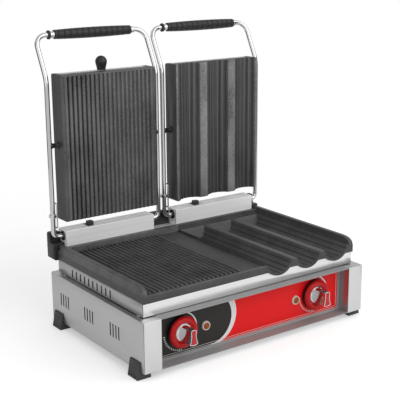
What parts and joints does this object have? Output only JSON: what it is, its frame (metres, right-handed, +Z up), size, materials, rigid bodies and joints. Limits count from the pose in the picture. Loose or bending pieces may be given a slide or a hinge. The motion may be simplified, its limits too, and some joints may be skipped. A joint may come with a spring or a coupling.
{
  "type": "wrap toaster",
  "caption": "Countertop contact grill with a ribbed pair of plates and a wrap-trough pair, each lid hinged at the back and lifted by its own bar handle.",
  "frame": {"origin": "on the worktop, under the middle of the whole object", "axes": "+X to the object's right as the user faces it, +Y to the back, +Z up"},
  "size_m": [0.556, 0.418, 0.6],
  "materials": {
    "stainless": "light brushed stainless sheet",
    "cast_plates": "dark coated cast surface, rubbed lighter on the ridges",
    "black_castings": "black satin",
    "bright_bar": "bright plated",
    "black_plastic": "black, satin",
    "black_rubber": "black moulded",
    "red_plastic": "glossy red",
    "label_print": "printed plate, black on the left and red on the right",
    "heater_tube": "dulled steel tube",
    "hardware_steel": "plain steel",
    "bush_brass": "sintered bronze colour",
    "lamp_rim": "pale plastic",
    "lamp_amber": "amber lens",
    "terminal_ceramic": "pale insulating block"
  },
  "bodies": {
    "housing": {"left_side_panel": "stainless", "right_side_panel": "stainless", "control_panel": "stainless", "panel_label": "label_print", "base_plate": "stainless", "deck_plate": "stainless", "back_panel": "stainless", "plate_tray": "stainless", "tray_spacers": "stainless", "lower_grill_plate": "cast_plates", "lower_wrap_plate": "cast_plates", "lower_grill_heater": "heater_tube", "lower_wrap_heater": "heater_tube", "left_hinge_box": "stainless", "right_hinge_box": "stainless", "hinge_bushes": "bush_brass", "hinge_rail": "stainless", "left_hinge_bracket": "black_castings", "centre_hinge_bracket": "black_castings", "right_hinge_bracket": "black_castings", "hinge_bolts": "hardware_steel", "left_thermostat": "black_plastic", "right_thermostat": "black_plastic", "lamp_bezels": "lamp_rim", "lamp_lenses": "lamp_amber", "front_left_foot": "black_rubber", "front_right_foot": "black_rubber", "rear_left_foot": "black_rubber", "rear_right_foot": "black_rubber", "cable_gland": "black_plastic", "terminal_block": "terminal_ceramic"},
    "left_lid": {"left_handle_frame": "bright_bar", "left_handle_grip": "black_plastic", "left_grip_ferrules": "bright_bar", "left_grip_stop": "black_plastic", "left_balance_spring": "hardware_steel", "left_lead_guide": "bright_bar", "left_pivot_screws": "hardware_steel"},
    "left_upper_plate": {"upper_grill_plate": "cast_plates", "upper_grill_cover": "stainless", "upper_grill_heater": "heater_tube", "ball_knob": "black_plastic"},
    "right_lid": {"right_handle_frame": "bright_bar", "right_handle_grip": "black_plastic", "right_grip_ferrules": "bright_bar", "right_grip_stop": "black_plastic", "right_balance_spring": "hardware_steel", "right_lead_guide": "bright_bar", "right_pivot_screws": "hardware_steel"},
    "right_upper_plate": {"upper_wrap_plate": "cast_plates", "upper_wrap_cover": "stainless", "upper_wrap_heater": "heater_tube"},
    "left_knob": {"left_knob_skirt": "red_plastic", "left_knob_bar": "bright_bar", "left_knob_inlay": "red_plastic", "left_control_shaft": "hardware_steel"},
    "right_knob": {"right_knob_skirt": "red_plastic", "right_knob_bar": "bright_bar", "right_knob_inlay": "red_plastic", "right_control_shaft": "hardware_steel"}
  },
  "joints": [
    {"name": "left_lid_hinge", "type": "hinge", "parent": "housing", "child": "left_lid", "pos_m": [-0.135, 0.156, 0.186], "axis": [1, 0, 0], "range_deg": [0, 90], "stiffness_Nm_per_rad": 4, "springref_deg": -20.05},
    {"name": "left_plate_tilt", "type": "hinge", "parent": "left_lid", "child": "left_upper_plate", "pos_m": [-0.135, 0.156, 0.375], "axis": [-1, 0, 0], "range_deg": [-10, 0]},
    {"name": "right_lid_hinge", "type": "hinge", "parent": "housing", "child": "right_lid", "pos_m": [0.135, 0.156, 0.186], "axis": [1, 0, 0], "range_deg": [0, 90], "stiffness_Nm_per_rad": 4, "springref_deg": -20.05},
    {"name": "right_plate_tilt", "type": "hinge", "parent": "right_lid", "child": "right_upper_plate", "pos_m": [0.135, 0.156, 0.375], "axis": [-1, 0, 0], "range_deg": [-10, 0]},
    {"name": "left_knob_turn", "type": "hinge", "parent": "housing", "child": "left_knob", "pos_m": [-0.173, -0.182, 0.0675], "axis": [0, 1, 0], "range_deg": [0, 270]},
    {"name": "right_knob_turn", "type": "hinge", "parent": "housing", "child": "right_knob", "pos_m": [0.157, -0.182, 0.0675], "axis": [0, 1, 0], "range_deg": [0, 270]}
  ]
}
